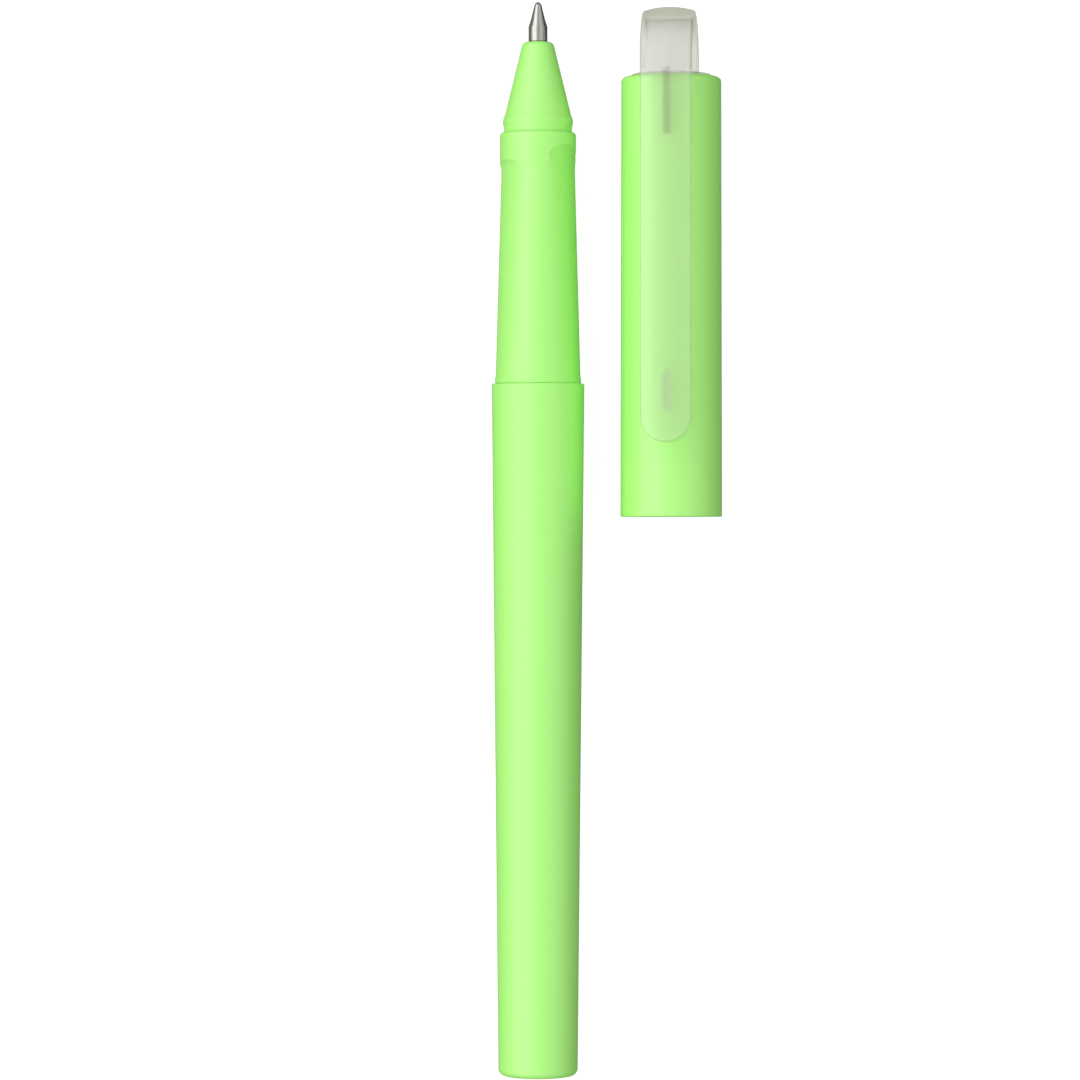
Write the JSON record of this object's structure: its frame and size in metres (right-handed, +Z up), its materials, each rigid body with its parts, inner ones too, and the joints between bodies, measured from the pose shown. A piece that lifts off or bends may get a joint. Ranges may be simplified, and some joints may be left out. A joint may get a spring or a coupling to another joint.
{
  "type": "gel pen",
  "caption": "Slim capped gel pen with a tapered grip and conical steel-pointed nose, its cap with a frosted loop clip lying beside it.",
  "frame": {"origin": "on the table under the middle of the pen and cap as they lie side by side", "axes": "+Y along the pen towards its writing tip, +X from the pen towards the cap, +Z up"},
  "size_m": [0.0288, 0.1344, 0.0154],
  "materials": {
    "green_plastic": "matte lime green moulding, dyed through, fine satin texture",
    "frosted_plastic": "frosted translucent moulding with a faint olive tint",
    "liner_plastic": "plain natural white moulding",
    "seal_rubber": "soft black rubber",
    "tip_steel": "bright turned stainless steel",
    "ball_carbide": "polished dark carbide",
    "spring_steel": "drawn stainless wire",
    "holder_plastic": "natural translucent moulding",
    "tube_plastic": "clear extruded tube, slightly milky",
    "ink_gel": "gel ink column, wet gloss",
    "follower_grease": "clear yellowish grease"
  },
  "bodies": {
    "pen_body": {"barrel": "green_plastic", "tail_plug": "green_plastic", "grip_section": "green_plastic"},
    "refill": {"ink_tube": "tube_plastic", "ink": "ink_gel", "ink_follower": "follower_grease", "tip_holder": "holder_plastic", "tip_body": "tip_steel", "tip_spring": "spring_steel"},
    "ball": {"tip_ball": "ball_carbide"},
    "nose": {"nose_cone": "green_plastic"},
    "cap": {"cap_tube": "green_plastic", "cap_plug": "frosted_plastic", "inner_cap": "liner_plastic", "tip_seal": "seal_rubber"},
    "clip": {"clip": "frosted_plastic"}
  },
  "joints": [
    {"name": "refill_slide", "type": "slide", "parent": "pen_body", "child": "refill", "axis": [0, 1, 0.0096], "range_m": [0, 0.005]},
    {"name": "nose_unscrew", "type": "hinge", "parent": "refill", "child": "nose", "pos_m": [-0.0086, 0.0507, 0.0061], "axis": [0, 1, 0.0096], "range_deg": [0, 1800]},
    {"name": "ball_roll", "type": "hinge", "parent": "refill", "child": "ball", "pos_m": [-0.0086, 0.06687, 0.00626], "axis": [1, 0, 0], "continuous": true},
    {"name": "cap_slide", "type": "slide", "parent": "pen_body", "child": "cap", "axis": [0, 1, 0], "range_m": [0, 0.066]},
    {"name": "clip_flex", "type": "hinge", "parent": "cap", "child": "clip", "pos_m": [0.0085, 0.058, 0.00227], "axis": [-0.994, 0, -0.1097], "range_deg": [0, 4], "stiffness_Nm_per_rad": 3}
  ],
  "couplings": [
    {"joint": "nose_unscrew", "follows": "refill_slide", "rad_per_m": 6283.2}
  ]
}
